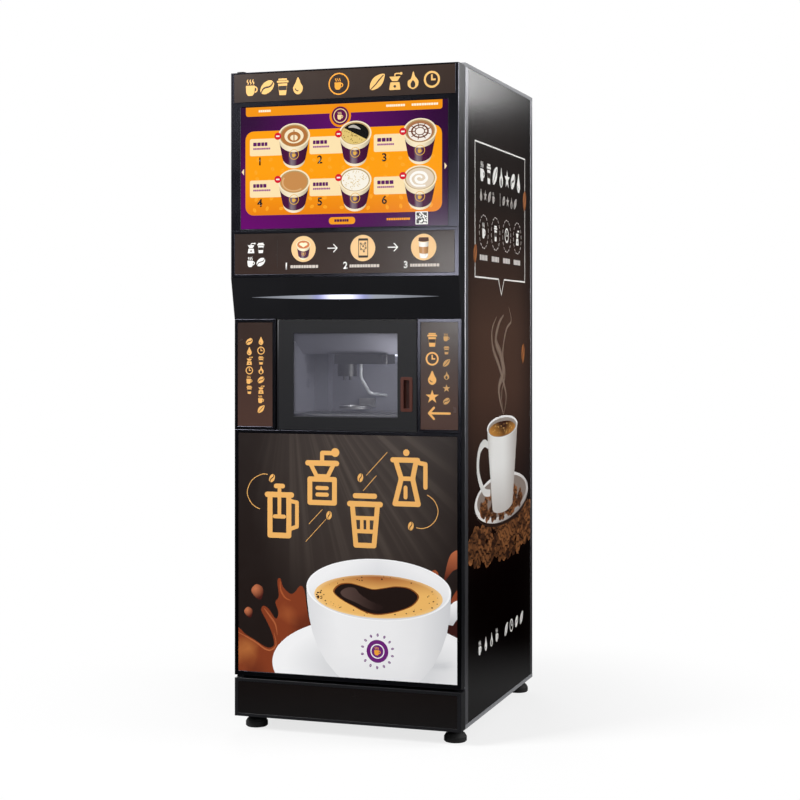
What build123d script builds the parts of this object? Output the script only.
"""Floor-standing hot coffee vending machine with a hinged display door and a cup door.

Frame: millimetres, +X to the right of a person facing the machine, +Y to the back, +Z up.
The origin is on the floor, under the centre of the machine.
Each function returns the solids of one sub-part, and each sub-part is written to its own STEP.
"""

from build123d import *
import math
import os

# ---------------------------------------------------------------- overall sizes
width = 656.0
depth = 808.0
body_height = 1790.0
foot_height = 40.0

# ---------------------------------------------------------------- door sizes
bulge = 25.0            # the upper door face stands this far in front of the lower one
door_thick = 34.0       # lower part of the door, front face to back
door_gap = 6.0          # between the door's back and the cabinet, filled by the gasket
skin = 4.0              # depth of the front layer: frames, fascia and light band
stile_width = 22.0
rail_height = 20.0
plinth_height = 106.0
plinth_gap = 8.0
header_band = 90.0
screen_band = 354.0
steps_band = 130.0
slope_band = 114.0
mid_band = 306.0
header_height = 78.0
header_side = 9.0
screen_width = 598.0    # 27 inch display, 16:9
screen_height = 336.4
screen_drop = 14.0      # from the header line down to the display's top edge
display_depth = 12.0
trim_side = 11.0
trim_edge = 9.0
poster_bottom = 12.0
panel_thick = 3.0
panel_recess = 0.8
fit_gap = 0.3
light_length = 541.0
light_height = 12.0
light_proud = 1.2
pivot_inset = 12.0
pivot_radius = 5.0
pivot_depth = 18.0
hinge_plate = 5.0
hinge_clear = 3.0
run_gap = 0.05          # radial running clearance of pins, shafts and stems

# ---------------------------------------------------------------- cup door sizes
cup_door_width = 408.0
cup_door_thick = 14.0
seam = 1.5
cup_pin_radius = 3.0
cup_pin_depth = 9.0
cup_pivot_inset = 8.0
window_left = 52.0      # from the cup door's left edge
window_right = 55.0     # from its right edge
window_height = 228.0
window_lift = 39.0      # window's lower edge above the middle section's lower edge
window_thick = 4.0
window_lip = 3.0
window_lap = 5.0
pull_width = 33.4
pull_height = 93.4
pull_slot_width = 16.7
pull_slot_height = 76.0
pull_flange = 1.5
pull_lift = 56.0        # the pull's lower edge above the middle section's lower edge
pull_inset = 12.0       # the pull's right edge from the cup door's right edge

# ---------------------------------------------------------------- cabinet sizes
sheet = 1.5
floor_sheet = 3.0
post = 28.0
rear_post = 22.0
base_thick = 11.0
top_thick = 10.0
panel_inset = 1.0       # the side panels sit this far inside the posts' outer faces
foot_radius = 31.0
foot_inset = 37.0           # rear feet's studs from the back
foot_gap = 9.0              # feet's studs from the front posts
stem_radius = 6.0
foot_pad_height = 22.0
boss_radius = 14.0
boss_height = 20.0
latch_swing = 40.0

# ---------------------------------------------------------------- cup chamber sizes
chamber_width = 380.0
chamber_depth = 249.0
chamber_rise = 4.0      # the chamber's underside above the middle section's lower edge
chamber_back_height = 205.0
chamber_front_height = 277.0
chamber_flat = 126.0    # depth of the level rear part of the ceiling
column_width = 42.0
column_depth = 34.0
vent_hole_radius = 1.6
vent_pitch = 6.0
vent_rings = 2
tray_height = 34.0
tray_margin = 9.0
grille_thick = 4.0
stand_radius = 45.0
stand_thick = 5.0
carriage_travel = 150.0
cup_mouth_radius = 44.0

# ---------------------------------------------------------------- machine modules
module_shelf_rise = 434.0   # upper shelf above the middle section's lower edge
coffee_inset = 100.0        # coffee module's axis from the left side of the cabinet
coffee_back = 101.0         # coffee module's axis behind the front posts
brewer_width = 130.0
brewer_depth = 150.0
brewer_height = 152.0
brewer_bore = 27.0
piston_stroke = 30.0
piston_lead = 20.0
rod_radius = 6.0
grinder_radius = 55.0
grinder_height = 112.0
hopper_width = 176.0
hopper_depth = 190.0
hopper_height = 183.0
hopper_wall = 3.0
lid_thick = 5.0
chute_size = 60.0
chute_gap = 16.0        # from the chamber's left wall to the chute
canister_width = 76.0
canister_depth = 200.0
canister_height = 220.0
canister_gap = 5.0
canister_wall = 3.0
auger_radius = 14.0
bowl_radius = 22.0
bowl_height = 50.0
turret_radius = 113.0
turret_column = 66.0
turret_height = 400.0
turret_rod = 3.0
boiler_radius = 62.0
bottle_radius = 132.0
bottle_headroom = 290.0
bin_width = 250.0
bin_depth = 270.0
bin_drop = 370.0        # the grounds bin's rim below the lower shelf
fan_radius = 58.0

# ---------------------------------------------------------------- places worked out from the sizes
half = width / 2
face_up = -depth / 2
face_low = face_up + bulge
frame_up = face_up + skin
frame_low = face_low + skin
door_back = face_low + door_thick
cab_front = door_back + door_gap
cab_back = depth / 2
floor_z = foot_height
top_z = foot_height + body_height
z_plinth = floor_z + plinth_height
z_door = z_plinth + plinth_gap
z_door_top = top_z - hinge_plate - hinge_clear
z_header = top_z - header_band
z_steps_top = z_header - screen_band
z_steps = z_steps_top - steps_band
z_mid_top = z_steps - slope_band
z_mid = z_mid_top - mid_band
z_screen_top = z_header - screen_drop
z_screen = z_screen_top - screen_height
z_base = floor_z + base_thick
z_roof = top_z - top_thick
pivot_x = -half + pivot_inset
pivot_y = face_low + door_thick / 2
cup_half = cup_door_width / 2
cup_pivot_x = -cup_half + cup_pivot_inset
cup_pivot_y = face_low + cup_pivot_inset
sign_inner = cup_half + seam
chamber_half = chamber_width / 2
chamber_front = cab_front + sheet
chamber_back = chamber_front + chamber_depth
z_chamber = z_mid + chamber_rise
z_ceiling = z_chamber + chamber_back_height
z_shelf = z_chamber - floor_sheet
z_module = z_mid + module_shelf_rise
coffee_x = -half + coffee_inset
coffee_y = cab_front + post + coffee_back
side_inner = half - panel_inset - sheet
stand_x = -36.0
stand_y = chamber_back - 111.0
stand_z = z_chamber + 50.0
drop_x = stand_x + carriage_travel
drop_y = chamber_back - chamber_flat / 2
turret_x = drop_x + turret_column / math.sqrt(2)
turret_y = drop_y + turret_column / math.sqrt(2)
z_turret = z_ceiling + 53.0
z_chute = z_shelf - bin_drop + 10
chute_x = -chamber_half - chute_gap - chute_size / 2
chute_y = coffee_y - 34
foot_x = half - post - foot_gap
foot_front_y = cab_front + foot_radius
foot_rear_y = cab_back - foot_inset
pull_right = cup_half - pull_inset
pull_x = pull_right - pull_width / 2
pull_z = z_mid + pull_lift + pull_height / 2
window_width = cup_door_width - window_left - window_right
window_x = (window_left - window_right) / 2
window_z = z_mid + window_lift + window_height / 2
light_z = (z_steps + z_mid_top) / 2 + 3
latch_x = half - post - 30
latch_z = z_mid - rail_height / 2
striker_y = cab_front + 11
hook_y = striker_y + 26
hook_z = latch_z - 12
shelf_right = drop_x - cup_mouth_radius - 28
canister_front = cab_front + 33
auger_z = z_module + floor_sheet + canister_wall + auger_radius + 4
fan_x = -half / 2
fan_z = top_z - 190
inlet_x = half - 98
inlet_z = z_plinth + 54


# ---------------------------------------------------------------- small tools
def block(x0, x1, y0, y1, z0, z1):
    """A box between two corners."""
    middle = Pos((x0 + x1) / 2, (y0 + y1) / 2, (z0 + z1) / 2)
    return middle * Box(x1 - x0, y1 - y0, z1 - z0)


def rod(x, y, radius, z0, z1):
    """An upright cylinder."""
    return Pos(x, y, (z0 + z1) / 2) * Cylinder(radius, z1 - z0)


def rod_along_y(x, z, radius, y0, y1):
    """A cylinder that lies along Y."""
    return Pos(x, (y0 + y1) / 2, z) * Rot(90, 0, 0) * Cylinder(radius, y1 - y0)


def rod_along_x(y, z, radius, x0, x1):
    """A cylinder that lies along X."""
    return Pos((x0 + x1) / 2, y, z) * Rot(0, 90, 0) * Cylinder(radius, x1 - x0)


def prism(outline, x0, x1):
    """An outline of (y, z) points, extruded from x0 to x1."""
    points = [(x0, y, z) for y, z in outline]
    face = make_face(Polyline(*points, close=True))
    return extrude(face, amount=x1 - x0, dir=(1, 0, 0))


def ring_bars(x0, x1, z0, z1, side, low, high, y0, y1):
    """Four bars round a rectangle in the front plane: two uprights and two between them."""
    return [
        block(x0, x0 + side, y0, y1, z0, z1),
        block(x1 - side, x1, y0, y1, z0, z1),
        block(x0 + side, x1 - side, y0, y1, z0, z0 + low),
        block(x0 + side, x1 - side, y0, y1, z1 - high, z1),
    ]


def upright_edges(shape):
    return shape.edges().filter_by(Axis.Z)


# ---------------------------------------------------------------- cabinet
def base_tray():
    tray = block(-half, half, cab_front, cab_back, z_base - floor_sheet, z_base)
    for x, y in foot_places():
        tray += rod(x, y, boss_radius, z_base, z_base + boss_height)
    for side in (-1, 1):
        x0, x1 = sorted((side * (half - post), side * half))
        tray -= block(x0, x1, cab_front, cab_front + post, z_base, z_roof)
        x0, x1 = sorted((side * (half - rear_post), side * half))
        tray -= block(x0, x1, cab_back - rear_post, cab_back, z_base, z_roof)
    for x, y in foot_places():
        tray -= rod(x, y, stem_radius + run_gap, floor_z - 1, z_base + boss_height + 1)
    return [tray] + skirt(floor_z, z_base - floor_sheet)


def skirt(z0, z1):
    """Four edge strips round the cabinet's outline."""
    inner = half - sheet
    return [
        block(-half, half, cab_front, cab_front + sheet, z0, z1),
        block(-half, half, cab_back - sheet, cab_back, z0, z1),
        block(-half, -inner, cab_front + sheet, cab_back - sheet, z0, z1),
        block(inner, half, cab_front + sheet, cab_back - sheet, z0, z1),
    ]


def foot_places():
    """Front left, front right, rear left, rear right."""
    return [(sx * foot_x, y) for y in (foot_front_y, foot_rear_y) for sx in (-1, 1)]


def foot(x, y):
    """A levelling foot: a moulded pad with a waist, and its threaded stem in one piece."""
    lip = 3.0
    neck = 17.0
    stem_top = z_base + boss_height - 2
    outline = Polyline(
        (0, 0), (foot_radius - lip, 0), (foot_radius, lip), (foot_radius, foot_pad_height - 8),
        (foot_radius - 5, foot_pad_height), (neck, foot_pad_height + 6), (neck, foot_height - 3),
        (stem_radius, foot_height - 3), (stem_radius, stem_top), (0, stem_top), close=True,
    )
    turned = revolve(Plane.XZ * make_face(outline), Axis.Z)
    return [Pos(x, y, 0) * turned]


def side_panel(side):
    outer = side * (half - panel_inset)
    inner = side * side_inner
    y0 = cab_front + post
    y1 = cab_back - rear_post
    return [block(min(outer, inner), max(outer, inner), y0, y1, z_base, z_roof)]


def corner_posts():
    bars = []
    for side in (-1, 1):
        inner, outer = sorted((side * (half - post), side * half))
        front = block(inner, outer, cab_front, cab_front + post, z_base, z_roof)
        edge = upright_edges(front).sort_by(lambda e: side * e.center().X - e.center().Y)[-1]
        bars.append(fillet(edge, 2))
        inner, outer = sorted((side * (half - rear_post), side * half))
        rear = block(inner, outer, cab_back - rear_post, cab_back, z_base, z_roof)
        edge = upright_edges(rear).sort_by(lambda e: side * e.center().X + e.center().Y)[-1]
        bars.append(fillet(edge, 2))
    return bars


def top_panel():
    roof = block(-half, half, cab_front, cab_back, top_z - sheet, top_z)
    return [roof] + skirt(z_roof, top_z - sheet)


def back_panel():
    """Rear sheet with louvre slots, the fan's grille and collar, and the inlet's cut-out."""
    outer = cab_back - panel_inset
    inner = outer - sheet
    panel = block(-half + rear_post, half - rear_post, inner, outer, z_base, z_roof)
    slot_long = 90.0
    for column_x in (-half / 2, 0, half / 2):
        for n in range(8):
            z = z_mid + 40 + 22 * n
            x0, x1 = column_x - slot_long / 2, column_x + slot_long / 2
            panel -= block(x0, x1, inner - 1, outer + 1, z, z + 5)
    for n in range(-4, 5):
        reach = math.sqrt(fan_radius**2 - (12 * n) ** 2) - 2
        z = fan_z + 12 * n
        if n:
            panel -= block(fan_x - reach, fan_x + reach, inner - 1, outer + 1, z - 3.5, z + 3.5)
    collar = rod_along_y(fan_x, fan_z, fan_radius + 8, inner - 26, inner)
    collar -= rod_along_y(fan_x, fan_z, fan_radius + 3, inner - 27, inner)
    panel += collar
    panel += rod_along_y(fan_x, fan_z, 4, inner - 22, inner)
    panel -= block(inlet_x - 14, inlet_x + 14, inner - 1, outer + 1, inlet_z - 12, inlet_z + 12)
    return [panel]


def exhaust_fan():
    """Seven-bladed rotor that turns on the back panel's stub shaft."""
    inner = cab_back - panel_inset - sheet
    y0, y1 = inner - 24, inner - 6
    rotor = rod_along_y(fan_x, fan_z, 20, y0, y1)
    for n in range(7):
        blade = Pos(39, 0, 0) * Rot(32, 0, 0) * Box(40, 1.8, 22)
        rotor += Pos(fan_x, (y0 + y1) / 2, fan_z) * Rot(0, 360 / 7 * n, 0) * blade
    rotor -= rod_along_y(fan_x, fan_z, 4 + run_gap, y0 - 1, y1 + 1)
    return [rotor]


def power_inlet():
    """Appliance inlet with its flange outside the rear sheet and an open socket."""
    outer = cab_back - panel_inset
    body = block(inlet_x - 13.8, inlet_x + 13.8, outer - 24, outer, inlet_z - 11.8, inlet_z + 11.8)
    body += block(inlet_x - 24, inlet_x + 24, outer, outer + 1, inlet_z - 15, inlet_z + 15)
    body -= block(inlet_x - 11, inlet_x + 11, outer - 18, outer + 2, inlet_z - 8, inlet_z + 8)
    for dx, dz in ((-6.5, -2), (0, 2.5), (6.5, -2)):
        x, z = inlet_x + dx, inlet_z + dz
        body += block(x - 1, x + 1, outer - 19, outer - 3, z - 2.5, z + 2.5)
    return [body]


def plinth_housing():
    bars = ring_bars(-half, half, floor_z, z_plinth, trim_side, 9, trim_edge, face_low, cab_front)
    inner = half - trim_side
    bars.append(block(-inner, inner, cab_front - sheet, cab_front, floor_z + 9, z_plinth - trim_edge))
    return bars


def plinth_panel():
    inner = half - trim_side - fit_gap
    y0 = face_low + panel_recess
    z0, z1 = floor_z + 9 + fit_gap, z_plinth - trim_edge - fit_gap
    return [block(-inner, inner, y0, y0 + panel_thick, z0, z1)]


def shelves():
    """Lower shelf under the cup chamber, and the upper shelf that carries the modules."""
    low = block(-half + post, half - post, chamber_front, cab_back - rear_post - 8, z_shelf, z_chamber)
    grow = chute_size / 2 + 2
    low -= block(chute_x - grow, chute_x + grow, chute_y - grow, chute_y + grow, z_shelf - 1, z_chamber + 1)
    y0 = cab_front + 39
    high = block(-side_inner, shelf_right, y0, chamber_back + 28, z_module, z_module + floor_sheet)
    high -= rod(coffee_x, coffee_y, 20, z_module - 1, z_module + 9)
    leg_y0, leg_y1 = drop_y - 40, drop_y + 40
    leg = block(shelf_right - 3, shelf_right, leg_y0, leg_y1, z_ceiling, z_module)
    return [low, high, leg]


# ---------------------------------------------------------------- door
def stile(x0, x1):
    """One side of the door frame in three lengths: flat below, sloped, and proud above."""
    slope = [(frame_low, z_mid_top), (frame_up, z_steps), (door_back, z_steps), (door_back, z_mid_top)]
    return [
        block(x0, x1, frame_low, door_back, z_door, z_mid_top),
        prism(slope, x0, x1),
        block(x0, x1, frame_up, door_back, z_steps, z_door_top),
    ]


def door_frame():
    """Welded frame: two stiles with the hinge bores, rails, mullions and the latch's striker."""
    left = stile(-half, -half + stile_width)
    bore = pivot_radius + run_gap
    left[0] -= rod(pivot_x, pivot_y, bore, z_door - 1, z_door + pivot_depth + 2)
    left[2] -= rod(pivot_x, pivot_y, bore, z_door_top - pivot_depth - 2, z_door_top + 1)
    right = stile(half - stile_width, half)
    inner = half - stile_width
    cup_bore = cup_pin_radius + run_gap
    seam_rail = block(-inner, inner, frame_low, door_back, z_mid - rail_height, z_mid)
    seam_rail -= rod(cup_pivot_x, cup_pivot_y, cup_bore, z_mid - cup_pin_depth - 1, z_mid + 1)
    slope_rail = block(-inner, inner, frame_low, door_back, z_mid_top, z_mid_top + rail_height)
    slope_rail -= rod(cup_pivot_x, cup_pivot_y, cup_bore, z_mid_top - 1, z_mid_top + cup_pin_depth + 1)
    bars = left + right + [
        seam_rail, slope_rail,
        block(-inner, inner, frame_low, door_back, z_door, z_door + rail_height),
        block(-inner, inner, frame_up, door_back, z_steps, z_steps + trim_edge),
        block(-inner, inner, frame_up, door_back, z_steps_top - rail_height + 7, z_steps_top),
        block(-inner, inner, frame_up, door_back, z_door_top - 10, z_door_top),
    ]
    for side in (-1, 1):
        x0, x1 = sorted((side * (cup_half + 2), side * (cup_half + 14)))
        bars.append(block(x0, x1, frame_low, door_back, z_mid, z_mid_top))
    lug = block(latch_x + 8, latch_x + 14, door_back, striker_y + 6, latch_z - 9, latch_z + 9)
    lug += rod_along_x(striker_y, latch_z, 4, latch_x - 6, latch_x + 9)
    return bars + [lug]


def door_liner():
    """Inner sheet of the door, with the port that the cup comes out through."""
    inner = half - stile_width
    y0, y1 = door_back - sheet, door_back
    sheet_metal = block(-inner, inner, y0, y1, z_door + rail_height, z_door_top - 10)
    for z0, z1 in ((z_mid - rail_height, z_mid_top + rail_height), (z_steps, z_steps + trim_edge),
                   (z_steps_top - rail_height + 7, z_steps_top)):
        sheet_metal -= block(-half, half, y0 - 1, y1 + 1, z0, z1)
    panes = list(sheet_metal.solids())
    port = cup_half + 14
    for side in (-1, 1):
        x0, x1 = sorted((side * port, side * inner))
        panes.append(block(x0, x1, y0, y1, z_mid, z_mid_top))
    return panes


def door_gasket():
    """Magnetic seal round the door's back, a little short of the cabinet."""
    edge = 12.0
    seal = 8.0
    y0, y1 = door_back, cab_front - fit_gap
    x1 = half - edge
    z0, z1 = z_door + edge, z_door_top - edge
    ring = block(-x1 + 6, x1, y0, y1, z0, z1)
    ring -= block(-x1 + 6 + seal, x1 - seal, y0 - 1, y1 + 1, z0 + seal, z1 - seal)
    return [ring]


def upper_fascia():
    """Black front sheet of the upper door, with windows for the sign and the display."""
    z_sign = z_header + header_height
    header_half = half - header_side
    reach = screen_width / 2
    strips = [
        block(-half, half, face_up, frame_up, z_steps_top, z_screen),
        block(-half, half, face_up, frame_up, z_screen_top, z_header),
        block(-half, half, face_up, frame_up, z_sign, z_door_top),
    ]
    for side in (-1, 1):
        x0, x1 = sorted((side * reach, side * half))
        strips.append(block(x0, x1, face_up, frame_up, z_screen, z_screen_top))
        x0, x1 = sorted((side * header_half, side * half))
        strips.append(block(x0, x1, face_up, frame_up, z_header, z_sign))
    return strips


def header_panel():
    reach = half - header_side - fit_gap
    y0 = face_up + panel_recess
    z0, z1 = z_header + fit_gap, z_header + header_height - fit_gap
    return [block(-reach, reach, y0, y0 + panel_thick, z0, z1)]


def display_panel():
    """Display module: its screen fills the fascia's window and its case sits behind."""
    reach = screen_width / 2 - fit_gap
    z0, z1 = z_screen + fit_gap, z_screen_top - fit_gap
    screen = block(-reach, reach, face_up + panel_recess, frame_up, z0, z1)
    case_half = screen_width / 2 + 4
    case = block(-case_half, case_half, frame_up, frame_up + display_depth, z_screen - 3, z_screen_top + 3)
    y0 = frame_up + display_depth
    board = block(-110, 110, y0, y0 + 14, z_screen + 60, z_screen_top - 90)
    return [screen + case + board]


def steps_panel():
    reach = half - trim_side - fit_gap
    y0 = face_up + panel_recess
    z0, z1 = z_steps + trim_edge + fit_gap, z_steps_top - trim_edge - fit_gap
    return [block(-reach, reach, y0, y0 + panel_thick, z0, z1)]


def panel_trims():
    """Snap frames round the steps panel and the two sign panels."""
    bars = ring_bars(-half, half, z_steps, z_steps_top, trim_side, trim_edge, trim_edge, face_up, frame_up)
    for x0, x1 in ((-half, -sign_inner), (sign_inner, half)):
        bars += ring_bars(x0, x1, z_mid, z_mid_top, trim_edge, trim_edge, trim_edge, face_low, frame_low)
    return bars


def sign_panels():
    y0 = face_low + panel_recess
    z0, z1 = z_mid + trim_edge + fit_gap, z_mid_top - trim_edge - fit_gap
    low = sign_inner + trim_edge + fit_gap
    high = half - trim_edge - fit_gap
    return [
        block(-high, -low, y0, y0 + panel_thick, z0, z1),
        block(low, high, y0, y0 + panel_thick, z0, z1),
    ]


def poster_trim():
    return ring_bars(-half, half, z_door, z_mid, trim_side, poster_bottom, trim_edge, face_low, frame_low)


def poster_panel():
    reach = half - trim_side - fit_gap
    y0 = face_low + panel_recess
    z0, z1 = z_door + poster_bottom + fit_gap, z_mid - trim_edge - fit_gap
    return [block(-reach, reach, y0, y0 + panel_thick, z0, z1)]


def slope_plane(lift):
    """Plane on the sloped light band, its X along the machine's, raised by lift along its normal."""
    share = (light_z - z_mid_top) / (z_steps - z_mid_top)
    y = face_low + share * (face_up - face_low)
    normal = Vector(0, -(z_steps - z_mid_top), face_up - face_low).normalized()
    return Plane(origin=Vector(0, y, light_z) + normal * lift, x_dir=(1, 0, 0), z_dir=normal)


def lens_shape(length, height, low, high):
    """A long lens outline, pointed at both ends, extruded off the slope from low to high."""
    upper = ThreePointArc((-length / 2, 0), (0, height / 2), (length / 2, 0))
    lower = ThreePointArc((length / 2, 0), (0, -height / 2), (-length / 2, 0))
    face = make_face([upper, lower])
    return extrude(slope_plane(low) * face, amount=high - low)


def light_band():
    outline = [
        (face_low, z_mid_top), (face_up, z_steps), (frame_up, z_steps), (frame_low, z_mid_top),
    ]
    band = prism(outline, -half, half)
    return [band - lens_shape(light_length + 2, light_height + 0.4, -2.5, 5)]


def light_lens():
    return [lens_shape(light_length, light_height, -2.5, light_proud)]


def door_pivots():
    """Upper and lower hinge plates on the cabinet, each with its pin."""
    x0, x1 = -half + 2, -half + 26
    y0 = pivot_y - 10
    plate = block(x0, x1, y0, cab_front, z_plinth, z_plinth + hinge_plate)
    corner = upright_edges(plate).sort_by(Axis.Y)[:2]
    plate = fillet(corner, 8)
    plate += rod(pivot_x, pivot_y, pivot_radius, z_plinth + hinge_plate, z_door + pivot_depth)
    upper = block(x0, x1, y0, cab_front, top_z - hinge_plate, top_z)
    upper = fillet(upright_edges(upper).sort_by(Axis.Y)[:2], 8)
    upper += rod(pivot_x, pivot_y, pivot_radius, z_door_top - pivot_depth, top_z - hinge_plate)
    return [plate, upper]


# ---------------------------------------------------------------- cup door
def cup_door_panel():
    z0, z1 = z_mid + seam, z_mid_top - seam
    y0, y1 = face_low, face_low + cup_door_thick
    panel = block(-cup_half, cup_half, y0, y1, z0, z1)
    corner = upright_edges(panel).sort_by(lambda e: -e.center().X - e.center().Y)[-1]
    panel = fillet(corner, cup_pivot_inset - 0.1)
    wx, wz = window_width / 2, window_height / 2
    panel -= block(window_x - wx, window_x + wx, y0 - 1, y1 + 1, window_z - wz, window_z + wz)
    wx, wz = wx + window_lap, wz + window_lap
    panel -= block(window_x - wx, window_x + wx, y0 + window_lip, y1 + 1, window_z - wz, window_z + wz)
    px, pz = pull_width / 2 - 2, pull_height / 2 - 2
    panel -= block(pull_x - px, pull_x + px, y0 - 1, y1 + 1, pull_z - pz, pull_z + pz)
    for z in (z0 + 4.5, z1 - 4.5):
        panel -= rod(cup_pivot_x, cup_pivot_y, cup_pin_radius, z - 5.5, z + 5.5)
    return [panel]


def cup_door_window():
    wx, wz = window_width / 2 + window_lap, window_height / 2 + window_lap
    y0 = face_low + window_lip
    return [block(window_x - wx, window_x + wx, y0, y0 + window_thick, window_z - wz, window_z + wz)]


def cup_door_pull():
    """Recessed pull: a rounded flange on the door's face round a pocket for the fingers."""
    px, pz = pull_width / 2, pull_height / 2
    flange = block(pull_x - px, pull_x + px, face_low - pull_flange, face_low, pull_z - pz, pull_z + pz)
    flange = fillet(flange.edges().filter_by(Axis.Y), 5)
    px, pz = px - 2, pz - 2
    body = block(pull_x - px, pull_x + px, face_low, face_low + cup_door_thick, pull_z - pz, pull_z + pz)
    sx, sz = pull_slot_width / 2, pull_slot_height / 2
    y0, y1 = face_low - pull_flange - 1, face_low + cup_door_thick - 2
    pocket = block(pull_x - sx, pull_x + sx, y0, y1, pull_z - sz, pull_z + sz)
    return [flange + body - fillet(pocket.edges().filter_by(Axis.Y), 2)]


def cup_door_pins():
    z0, z1 = z_mid + seam, z_mid_top - seam
    return [
        rod(cup_pivot_x, cup_pivot_y, cup_pin_radius, z_mid - cup_pin_depth, z0 + 10),
        rod(cup_pivot_x, cup_pivot_y, cup_pin_radius, z1 - 10, z_mid_top + cup_pin_depth),
    ]


# ---------------------------------------------------------------- cup chamber
def chamber_walls():
    """Side outline as (y, z): floor front, floor back, ceiling back, knee, ceiling front."""
    knee_y = chamber_back - chamber_flat
    return [
        (chamber_front, z_chamber), (chamber_back, z_chamber), (chamber_back, z_ceiling),
        (knee_y, z_ceiling), (chamber_front, z_chamber + chamber_front_height),
    ]


def vent_holes(y, z, x0, x1):
    """Round cluster of small holes, one hexagonal ring inside the next."""
    places = [(0.0, 0.0)]
    for ring in range(1, vent_rings + 1):
        for n in range(6 * ring):
            turn = math.tau * n / (6 * ring)
            places.append((ring * vent_pitch * math.cos(turn), ring * vent_pitch * math.sin(turn)))
    return [rod_along_x(y + dy, z + dz, vent_hole_radius, x0, x1) for dy, dz in places]


def cup_chamber():
    """Liner plates that the cup is filled in, open to the front, with vents and a rear guide column."""
    floor_y, back_y = chamber_front, chamber_back
    outline = chamber_walls()
    knee_y = outline[3][0]
    z_front = outline[4][1]
    inner = chamber_half - sheet
    x0 = -inner
    y1 = back_y - sheet
    left = prism(outline, -chamber_half, -inner)
    vent_y = chamber_back - 87
    for z in (z_chamber + 120, z_chamber + 161):
        left -= vent_holes(vent_y, z, -chamber_half - 1, x0 + 1)
    slant = [
        (knee_y, z_ceiling - sheet), (knee_y, z_ceiling), (floor_y, z_front), (floor_y, z_front - sheet),
    ]
    flat = block(-inner, inner, knee_y, y1, z_ceiling - sheet, z_ceiling)
    return [
        left, prism(outline, inner, chamber_half),
        block(-inner, inner, floor_y, y1, z_chamber, z_chamber + sheet),
        block(-inner, inner, y1, back_y, z_chamber, z_ceiling),
        flat - rod(drop_x, drop_y, cup_mouth_radius, z_ceiling - 5, z_ceiling + 1),
        prism(slant, -inner, inner),
        block(x0, x0 + column_width, y1 - column_depth, y1, z_chamber + sheet, z_ceiling - sheet),
    ]


def drip_tray():
    x1 = chamber_half - sheet - tray_margin
    y0, y1 = chamber_front + tray_margin, chamber_back - sheet - column_depth - tray_margin
    z0 = z_chamber + sheet
    tray = block(-x1, x1, y0, y1, z0, z0 + tray_height)
    tray -= block(-x1 + 3, x1 - 3, y0 + 3, y1 - 3, z0 + 3, z0 + tray_height + 1)
    return [tray]


def drip_grille():
    """Slotted plate on the tray."""
    x1 = chamber_half - sheet - tray_margin
    y0, y1 = chamber_front + tray_margin, chamber_back - sheet - column_depth - tray_margin
    z0 = z_chamber + sheet + tray_height
    plate = block(-x1, x1, y0, y1, z0, z0 + grille_thick)
    count = 11
    pitch = (2 * x1 - 24) / count
    for n in range(count):
        x = -x1 + 12 + pitch * (n + 0.5)
        plate -= block(x - pitch * 0.28, x + pitch * 0.28, y0 + 12, y1 - 12, z0 - 1, z0 + grille_thick + 1)
    return [plate]


def cup_carrier():
    """Round cup stand on an arm, with a shoe that runs along the chamber's back wall."""
    rear = chamber_back - sheet
    disc = rod(stand_x, stand_y, stand_radius, stand_z, stand_z + stand_thick)
    disc += rod(stand_x, stand_y, stand_radius, stand_z, stand_z + 8) - rod(
        stand_x, stand_y, stand_radius - 3, stand_z - 1, stand_z + 9)
    arm_y = stand_y + stand_radius - 4
    disc += block(stand_x - 14, stand_x + 14, arm_y, rear - 1, stand_z, stand_z + stand_thick)
    disc += block(stand_x - 24, stand_x + 24, rear - 10, rear - 1, stand_z, stand_z + 26)
    return [disc]


def nozzle_housing():
    """Block under the chamber's ceiling with the outlet drum and its two spouts."""
    under = z_ceiling - sheet
    y0, y1 = stand_y - 36, stand_y + 36
    block_low = under - 27
    head = block(-88, 72, y0, y1, block_low, under)
    head = fillet(upright_edges(head), 6)
    drum_x = -60
    head += rod(drum_x, stand_y, 28, block_low - 35, block_low)
    for dx in (-9, 9):
        head += rod(drum_x + dx, stand_y, 4, block_low - 46, block_low - 35)
    head += block(20, 58, y0 - 4, y0, block_low + 5, under - 3)
    return [head]


def rinse_hose():
    """Silicone hose from the nozzle block into the chamber's rear wall."""
    hose_radius = 4.5
    y = stand_y + 22
    top = z_ceiling - sheet - 27
    rear = chamber_back - sheet
    points = [(-27, y, top), (-27, y, top - 40), (-6, y + 18, top - 84), (18, rear, top - 92)]
    path = FilletPolyline(*points, radius=[24, 14])
    start = Plane(origin=points[0], z_dir=(0, 0, -1))
    return [sweep(start * Circle(hose_radius), path=path) & block(-99, 99, y - 30, rear, z_chamber, top)]


def door_latch():
    """Latch case bolted to the right-hand front post."""
    x0, x1 = latch_x + 12, half - post
    body = block(x0, x1, striker_y + 14, cab_front + 70, latch_z - 60, latch_z + 8)
    body += rod_along_x(hook_y, hook_z, 4, latch_x - 6, x0)
    return [body]


def latch_hook():
    """Hook shown open: it turns up in front of the striker to hold the door shut."""
    x0, x1 = latch_x - 4, latch_x + 2
    outline = [
        (striker_y - 10, latch_z + 7), (striker_y - 5, latch_z + 7), (striker_y - 5, latch_z - 5),
        (striker_y + 12, latch_z - 6), (hook_y, hook_z + 6), (hook_y, hook_z - 8),
        (striker_y - 10, latch_z - 16),
    ]
    hook = prism(outline, x0, x1) + rod_along_x(hook_y, hook_z, 9, x0, x1)
    hook -= rod_along_x(hook_y, hook_z, 4 + run_gap, x0 - 1, x1 + 1)
    turned = Pos(0, hook_y, hook_z) * Rot(latch_swing, 0, 0) * Pos(0, -hook_y, -hook_z)
    return [turned * hook]


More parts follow.
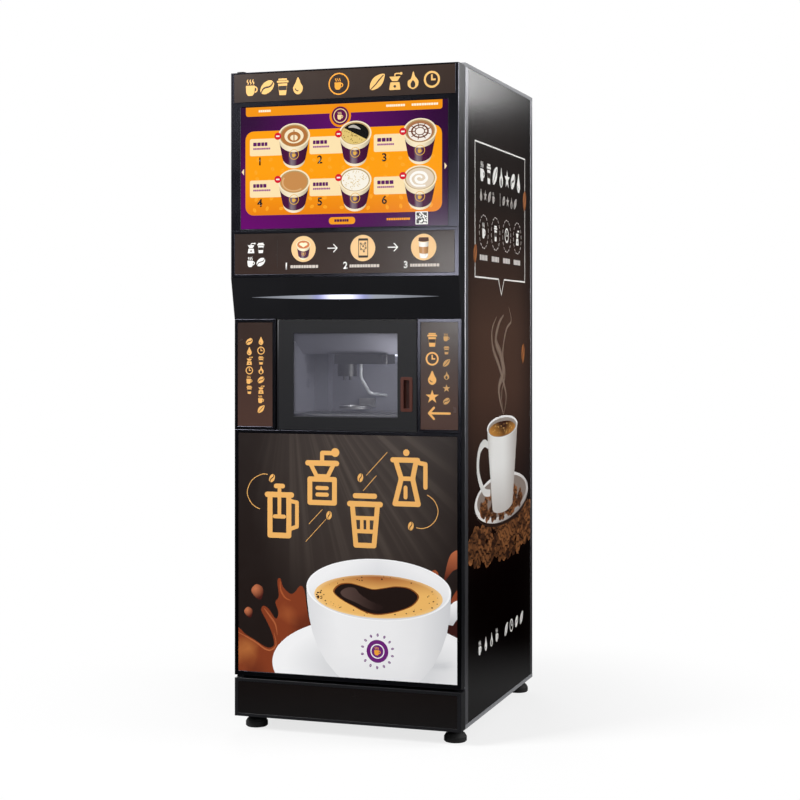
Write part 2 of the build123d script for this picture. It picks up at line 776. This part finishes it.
# ---------------------------------------------------------------- cup supply
def cup_dropper():
    """Ring that lets one cup fall, its carrier plate and the turret's bearing post."""
    plate_z = z_turret - 6
    ring = rod(drop_x, drop_y, cup_mouth_radius + 11, z_ceiling, plate_z)
    ring -= rod(drop_x, drop_y, cup_mouth_radius, z_ceiling - 1, plate_z + 9)
    x0, x1 = shelf_right + 6, min(turret_x + turret_radius, side_inner - 6)
    plate = block(x0, x1, turret_y - turret_radius, turret_y + turret_radius, plate_z, plate_z + 4)
    plate -= rod(drop_x, drop_y, cup_mouth_radius, plate_z - 1, plate_z + 9)
    plate += rod(turret_x, turret_y, 8, plate_z, plate_z + 26)
    motor = block(drop_x + 50, drop_x + 96, drop_y - 20, drop_y + 20, z_ceiling + 8, plate_z)
    return [ring + plate + motor]


def turret_columns():
    """Centres of the four cup columns, the first over the dropper."""
    for n in range(4):
        turn = math.radians(225 + 90 * n)
        yield turret_x + turret_column * math.cos(turn), turret_y + turret_column * math.sin(turn)


def cup_turret():
    """Rotating cup magazine: two plates with four mouths, held apart by rods."""
    solids = []
    for z0, thick in ((z_turret, 4), (z_turret + turret_height, 3)):
        plate = rod(turret_x, turret_y, turret_radius, z0, z0 + thick)
        plate -= rod(turret_x, turret_y, 8 + run_gap, z0 - 1, z0 + thick + 1)
        for x, y in turret_columns():
            plate -= rod(x, y, cup_mouth_radius - 2, z0 - 1, z0 + thick + 1)
        solids.append(plate)
    spread = cup_mouth_radius + 1.5
    for n in range(4):
        outward = math.radians(225 + 90 * n)
        between = outward + math.pi / 4
        for turn, reach in ((outward + 0.56, 99), (outward - 0.56, 99), (between, spread)):
            x, y = turret_x + reach * math.cos(turn), turret_y + reach * math.sin(turn)
            solids.append(rod(x, y, turret_rod, z_turret + 4, z_turret + turret_height))
    return solids


# ---------------------------------------------------------------- coffee module
def brewer_body():
    """Brewer: side plates, floor, cross plate and top plate round the brewing cylinder."""
    x0, x1 = coffee_x - brewer_width / 2, coffee_x + brewer_width / 2
    y0, y1 = coffee_y - brewer_depth / 2, coffee_y + brewer_depth / 2
    z1 = z_module
    z0 = z1 - brewer_height
    solids = [block(x0, x0 + 4, y0, y1, z0, z1), block(x1 - 4, x1, y0, y1, z0, z1)]
    floor = block(x0 + 4, x1 - 4, y0, y1, z0, z0 + 4)
    grow = chute_size / 2 - 4
    floor -= block(chute_x - grow, chute_x + grow, chute_y - grow, chute_y + grow, z0 - 1, z0 + 5)
    cylinder_y = coffee_y + 34
    cylinder = rod(coffee_x, cylinder_y, brewer_bore + 8, z0 + 4, z0 + 74)
    cylinder -= rod(coffee_x, cylinder_y, brewer_bore, z0 + 12, z0 + 75)
    cross = block(x0 + 4, x1 - 4, cylinder_y - 26, y1, z0 + 100, z0 + 104)
    cross -= rod(coffee_x, cylinder_y, rod_radius + run_gap, z0 + 99, z0 + 105)
    top = block(x0 + 4, x1 - 4, y0, y1, z1 - 4, z1)
    top -= rod(coffee_x, coffee_y, 20, z1 - 5, z1 + 1)
    return solids + [floor + cylinder, cross, top]


def brew_piston():
    z0 = z_module - brewer_height
    y = coffee_y + 34
    piston = rod(coffee_x, y, brewer_bore - fit_gap, z0 + 56, z0 + 68)
    piston += rod(coffee_x, y, rod_radius, z0 + 68, z0 + 140)
    return [piston]


def brewer_gear():
    """Toothed nut that rests on the cross plate and drives the piston's rod."""
    z0 = z_module - brewer_height + 104
    y = coffee_y + 34
    teeth = 24
    radius = 24.0
    gear = rod(coffee_x, y, radius, z0, z0 + 12)
    for n in range(teeth):
        tooth = Pos(radius + 0.6, 0, 6) * Box(3.6, 3.2, 12)
        gear += Pos(coffee_x, y, z0) * Rot(0, 0, 360 / teeth * n) * tooth
    gear -= rod(coffee_x, y, rod_radius + run_gap, z0 - 1, z0 + 13)
    return [gear]


def grinder_housing():
    """Grinder with its burr cavity, throat and outlet, and the motor behind it."""
    z0 = z_module + floor_sheet
    z1 = z0 + grinder_height
    body = rod(coffee_x, coffee_y, grinder_radius, z0, z0 + 70)
    body += rod(coffee_x, coffee_y, 36, z0 + 70, z1)
    body += rod_along_y(coffee_x, z0 + 42, 40, coffee_y, coffee_y + 150)
    body -= rod(coffee_x, coffee_y, 30, z0 + 26, z0 + 58)
    body -= rod(coffee_x, coffee_y, 22, z0 + 57, z1 + 1)
    body -= rod(coffee_x, coffee_y, 14, z0 - 1, z0 + 27)
    return [body]


def grinder_burr():
    z0 = z_module + floor_sheet
    cone = Pos(coffee_x, coffee_y, z0 + 42) * Cone(29.5, 17, 28)
    return [cone]


def hopper_shell(grow, z_extra):
    """Filled hopper shape: a box over a tapered throat, drawn in by the wall when grow is negative."""
    z0 = z_module + floor_sheet + grinder_height
    z_throat, z_wide, z1 = z0 + 18, z0 + 100, z0 + hopper_height
    throat = 60 + 2 * grow
    wide_x, wide_y = hopper_width + 2 * grow, hopper_depth + 2 * grow
    low = Pos(coffee_x, coffee_y, z_throat) * Rectangle(throat, throat)
    high = Pos(coffee_x, coffee_y, z_wide) * Rectangle(wide_x, wide_y)
    shape = loft([low, high])
    ends = (throat, throat, z0 - z_extra, z_throat), (wide_x, wide_y, z_wide, z1 + z_extra)
    for x, y, low_z, high_z in ends:
        shape += Pos(coffee_x, coffee_y, (low_z + high_z) / 2) * Box(x, y, high_z - low_z)
    return shape


def bean_hopper():
    return [hopper_shell(0, 0) - hopper_shell(-hopper_wall, 1)]


def hopper_lid():
    """Lid that turns about the round edge at its back."""
    z0 = z_module + floor_sheet + grinder_height + hopper_height
    x = hopper_width / 2 + 2
    y0, y1 = coffee_y - hopper_depth / 2 - 3, coffee_y + hopper_depth / 2 + 4
    lid = block(coffee_x - x, coffee_x + x, y0, y1, z0, z0 + lid_thick)
    lid = fillet(upright_edges(lid).sort_by(Axis.Y)[:2], 6)
    lid += Pos(coffee_x, y1, z0 + lid_thick / 2) * Rot(0, 90, 0) * Cylinder(lid_thick / 2, 2 * x)
    lid += block(coffee_x - 24, coffee_x + 24, y0 + 8, y0 + 16, z0 + lid_thick, z0 + lid_thick + 12)
    return [lid]


def grounds_chute():
    """Square duct from the brewer down past the chamber to the grounds bin."""
    reach = chute_size / 2
    return box_walls(chute_x, chute_y, reach, reach, sheet, z_chute, z_module - brewer_height)


def box_walls(x, y, reach_x, reach_y, wall, z0, z1):
    """Four upright walls round a rectangle, centred on x and y, as separate plates."""
    plates = []
    for side in (-1, 1):
        x0, x1 = sorted((x + side * (reach_x - wall), x + side * reach_x))
        plates.append(block(x0, x1, y - reach_y, y + reach_y, z0, z1))
        y0, y1 = sorted((y + side * (reach_y - wall), y + side * reach_y))
        plates.append(block(x - reach_x + wall, x + reach_x - wall, y0, y1, z0, z1))
    return plates


# ---------------------------------------------------------------- powder module
def canister_places():
    """X of each canister's middle plane, counted left from the upper shelf's right edge."""
    first = shelf_right - 16 - canister_width / 2
    return [first - canister_width - canister_gap, first]


def powder_canisters():
    """Two canisters with lids and front outlet tubes."""
    solids = []
    z0 = z_module + floor_sheet
    y0, y1 = canister_front, canister_front + canister_depth
    for x in canister_places():
        reach = canister_width / 2
        z1 = z0 + canister_height
        floor_z = z0 + canister_wall
        walls = box_walls(x, (y0 + y1) / 2, reach, canister_depth / 2, canister_wall, floor_z, z1)
        bore = rod_along_y(x, auger_z, auger_radius + 1.5, y0 - 19, y0 + canister_wall + 1)
        outlet = rod_along_y(x, auger_z, auger_radius + 4, y0 - 22, y0) - bore
        outlet -= block(x - 9, x + 9, y0 - 19, y0 - 4, auger_z - auger_radius - 6, auger_z)
        solids += [wall - bore for wall in walls] + [outlet, block(x - reach, x + reach, y0, y1, z0, floor_z)]
        lid = block(x - reach - 2, x + reach + 2, y0 - 2, y1 + 2, z1, z1 + 8)
        solids.append(fillet(upright_edges(lid), 4))
    return solids


def auger(x):
    """Powder screw: a shaft with slanted flights, from the rear wall to the outlet."""
    y0, y1 = canister_front - 18, canister_front + canister_depth - canister_wall - 1
    screw = rod_along_y(x, auger_z, 4, y0, y1)
    pitch = 15.0
    for n in range(int((y1 - y0 - 10) / pitch)):
        flight = Rot(90, 0, 0) * Rot(14, 0, 0) * Cylinder(auger_radius, 2)
        screw += Pos(x, y0 + 8 + pitch * n, auger_z) * flight
    return [screw]


def mixing_bowls():
    """Funnel bowls under the outlets, hung from the upper shelf's front edge."""
    solids = []
    top = z_module - 4
    y = canister_front - 12
    for x in canister_places():
        bowl = rod(x, y, bowl_radius, top - bowl_height, top)
        bowl += rod(x, y, 6, top - bowl_height - 14, top - bowl_height)
        hanger_y = y + bowl_radius - 2
        bowl += block(x - 8, x + 8, hanger_y, hanger_y + 12, top - 14, z_module)
        bowl -= rod(x, y, bowl_radius - 2, top - bowl_height + 3, top + 9)
        bowl -= rod(x, y, 3.5, top - bowl_height - 15, top - bowl_height + 4)
        solids.append(bowl)
    return solids


# ---------------------------------------------------------------- water, waste and electrics
def boiler():
    """Insulated boiler on the lower shelf, with its top fittings."""
    x, y = coffee_x + 78, chamber_back + 158
    z0 = z_chamber
    tank = rod(x, y, boiler_radius, z0 + 8, z0 + 250)
    tank = fillet(tank.edges().filter_by(GeomType.CIRCLE), 14)
    tank += rod(x, y, boiler_radius - 20, z0, z0 + 14)
    for dx, dy in ((-24, 0), (24, 0), (0, 26)):
        tank += rod(x + dx, y + dy, 7, z0 + 246, z0 + 272)
    return [tank]


def water_pump():
    x, y = coffee_x + 208, chamber_back + 158
    z0 = z_chamber
    pump = block(x - 34, x + 34, y - 42, y + 42, z0, z0 + 8)
    pump += rod_along_y(x, z0 + 36, 30, y - 40, y + 40)
    pump += block(x - 20, x + 20, y - 64, y - 40, z0 + 22, z0 + 62)
    for dx in (-12, 12):
        pump += rod(x + dx, y - 52, 5, z0 + 62, z0 + 78)
    return [pump]


def control_box():
    """Electronics case on the lower shelf at the right rear, with cooling ribs."""
    x1 = side_inner - 46
    x0 = x1 - 200
    y1 = cab_back - rear_post - 20
    y0 = y1 - 90
    case = block(x0, x1, y0, y1, z_chamber, z_chamber + 300)
    case = fillet(upright_edges(case), 4)
    for n in range(12):
        x = x0 + 24 + 14 * n
        case -= block(x, x + 5, y0 - 1, y0 + 3, z_chamber + 190, z_chamber + 270)
    return [case]


def water_bottle():
    """Five-gallon water bottle, closed, with waist grooves and a neck."""
    r = bottle_radius
    z1 = z_shelf - bottle_headroom
    tall = z1 - z_base
    x, y = side_inner - r - 16, cab_front + r + 44
    outline = Polyline(
        (0, 0), (r - 18, 0), (r, 18), (r, tall * 0.30), (r - 7, tall * 0.32), (r - 7, tall * 0.36),
        (r, tall * 0.38), (r, tall * 0.60), (r - 7, tall * 0.62), (r - 7, tall * 0.66),
        (r, tall * 0.68), (r, tall * 0.84), (r * 0.62, tall * 0.96), (30, tall), (30, tall + 46),
        (0, tall + 46), close=True,
    )
    return [Pos(x, y, z_base) * revolve(Plane.XZ * make_face(outline), Axis.Z)]


def grounds_bin():
    """Open bin on the base that catches spent grounds, with a rim."""
    x0 = -foot_x + boss_radius + 6
    y0 = cab_front + 16
    z1 = z_shelf - bin_drop
    outer = block(x0, x0 + bin_width, y0, y0 + bin_depth, z_base, z1)
    outer = fillet(upright_edges(outer), 14)
    inner = block(x0 + 3, x0 + bin_width - 3, y0 + 3, y0 + bin_depth - 3, z_base + 3, z1 + 1)
    outer -= fillet(upright_edges(inner), 11)
    return [outer]


# ---------------------------------------------------------------- every node and its maker
foot_names = ["foot_front_left", "foot_front_right", "foot_rear_left", "foot_rear_right"]
nodes = {
    "base_tray": base_tray,
    "side_panel_left": lambda: side_panel(-1),
    "side_panel_right": lambda: side_panel(1),
    "back_panel": back_panel,
    "top_panel": top_panel,
    "corner_posts": corner_posts,
    "plinth_housing": plinth_housing,
    "plinth_panel": plinth_panel,
    "shelves": shelves,
    "door_frame": door_frame,
    "door_liner": door_liner,
    "door_gasket": door_gasket,
    "upper_fascia": upper_fascia,
    "header_panel": header_panel,
    "display_panel": display_panel,
    "steps_panel": steps_panel,
    "panel_trims": panel_trims,
    "sign_panels": sign_panels,
    "poster_trim": poster_trim,
    "poster_panel": poster_panel,
    "light_band": light_band,
    "light_lens": light_lens,
    "door_pivots": door_pivots,
    "cup_door_panel": cup_door_panel,
    "cup_door_window": cup_door_window,
    "cup_door_pull": cup_door_pull,
    "cup_door_pins": cup_door_pins,
    "cup_chamber": cup_chamber,
    "drip_tray": drip_tray,
    "drip_grille": drip_grille,
    "cup_carrier": cup_carrier,
    "nozzle_housing": nozzle_housing,
    "rinse_hose": rinse_hose,
    "door_latch": door_latch,
    "latch_hook": latch_hook,
    "cup_dropper": cup_dropper,
    "cup_turret": cup_turret,
    "brewer_body": brewer_body,
    "brew_piston": brew_piston,
    "brewer_gear": brewer_gear,
    "grinder_housing": grinder_housing,
    "grinder_burr": grinder_burr,
    "bean_hopper": bean_hopper,
    "hopper_lid": hopper_lid,
    "grounds_chute": grounds_chute,
    "powder_canisters": powder_canisters,
    "auger_left": lambda: auger(canister_places()[0]),
    "auger_right": lambda: auger(canister_places()[1]),
    "mixing_bowls": mixing_bowls,
    "boiler": boiler,
    "water_pump": water_pump,
    "control_box": control_box,
    "water_bottle": water_bottle,
    "grounds_bin": grounds_bin,
    "exhaust_fan": exhaust_fan,
    "power_inlet": power_inlet,
}
for name, place in zip(foot_names, foot_places()):
    nodes[name] = lambda place=place: foot(*place)

os.makedirs("parts", exist_ok=True)
for name, make in nodes.items():
    solids = [solid for shape in make() for solid in shape.solids()]
    whole = solids[0] if len(solids) == 1 else Compound(children=solids)
    export_step(whole, f"parts/{name}.step")
